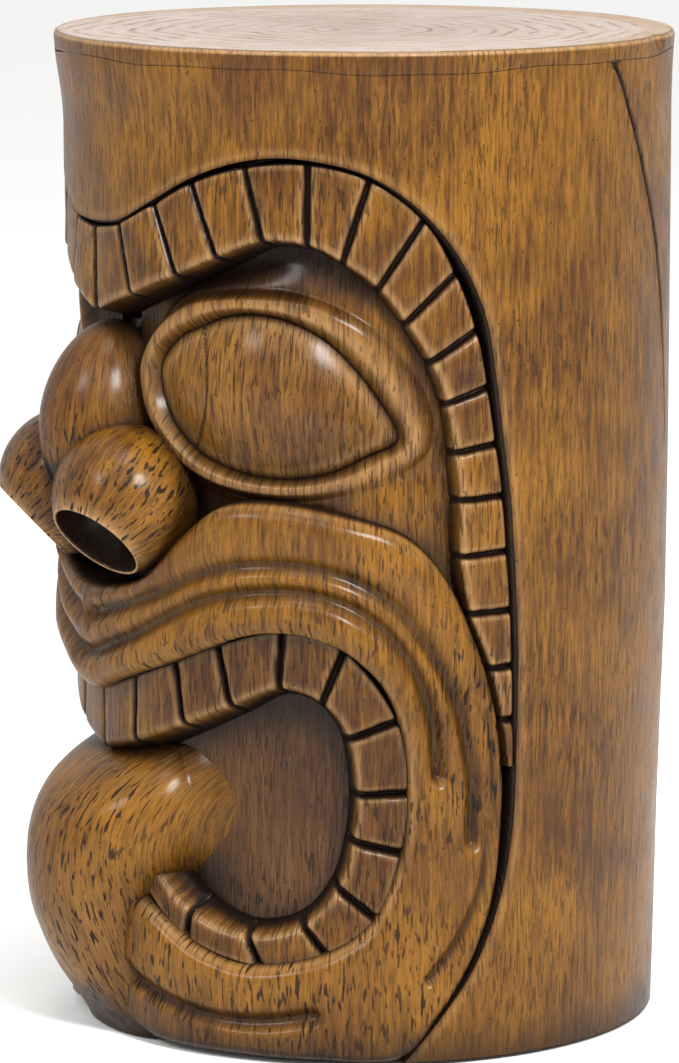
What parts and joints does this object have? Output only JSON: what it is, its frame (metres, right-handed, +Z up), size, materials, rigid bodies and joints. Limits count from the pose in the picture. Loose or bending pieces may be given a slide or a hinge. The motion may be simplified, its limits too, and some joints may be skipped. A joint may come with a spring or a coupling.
{
  "type": "tiki figure",
  "caption": "Round log-shaped tiki head with notched brows, almond eyes, flared nostrils, a wide toothed mouth and a flat top that serves as a stool or side table.",
  "frame": {"origin": "centre of the underside, on the log's axis at floor level", "axes": "+Z up along the log; the face looks along -Y; +X is the figure's left"},
  "size_m": [0.27, 0.296, 0.432],
  "materials": {
    "varnished_wood": "satin varnish, dark crevices and short dark grain marks",
    "sawn_end": "satin varnish over pale sawn end grain with rings",
    "board": "plain board",
    "pad": "felt"
  },
  "bodies": {
    "root": {"log_shell": "varnished_wood", "top_disc": "sawn_end", "face_tray": "varnished_wood", "brow_band_left": "varnished_wood", "brow_band_right": "varnished_wood", "eye_panel_left": "varnished_wood", "eye_panel_right": "varnished_wood", "eyeball_left": "varnished_wood", "eyeball_right": "varnished_wood", "nose_bulb": "varnished_wood", "nostril_left": "varnished_wood", "nostril_right": "varnished_wood", "lips": "varnished_wood", "teeth_left": "varnished_wood", "teeth_right": "varnished_wood", "tongue": "varnished_wood", "base_plate": "board", "base_pad": "pad"}
  },
  "joints": []
}
